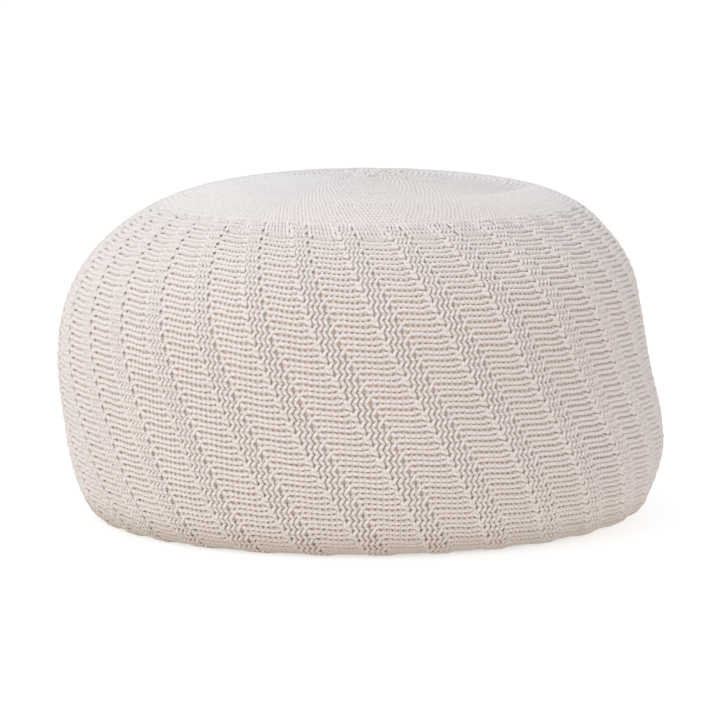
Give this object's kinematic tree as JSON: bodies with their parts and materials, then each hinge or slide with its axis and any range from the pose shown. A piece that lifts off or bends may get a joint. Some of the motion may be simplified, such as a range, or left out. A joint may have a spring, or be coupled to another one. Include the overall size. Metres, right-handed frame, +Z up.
{
  "type": "knitted pouf",
  "caption": "Round filled pouf in one knitted cover, with a plain gathered top and slanting raised ribs around its side, used as a low seat or footrest.",
  "frame": {"origin": "middle of the flat base, on the surface the pouf stands on", "axes": "+Z up, square to the flat base; +Y towards the back, so the pictured side faces -Y; +X to the right of that view"},
  "size_m": [0.5496, 0.5432, 0.3105],
  "materials": {
    "cream_yarn": "matt knitted cotton yarn"
  },
  "bodies": {
    "root": {"knitted_pouf": "cream_yarn"}
  },
  "joints": []
}
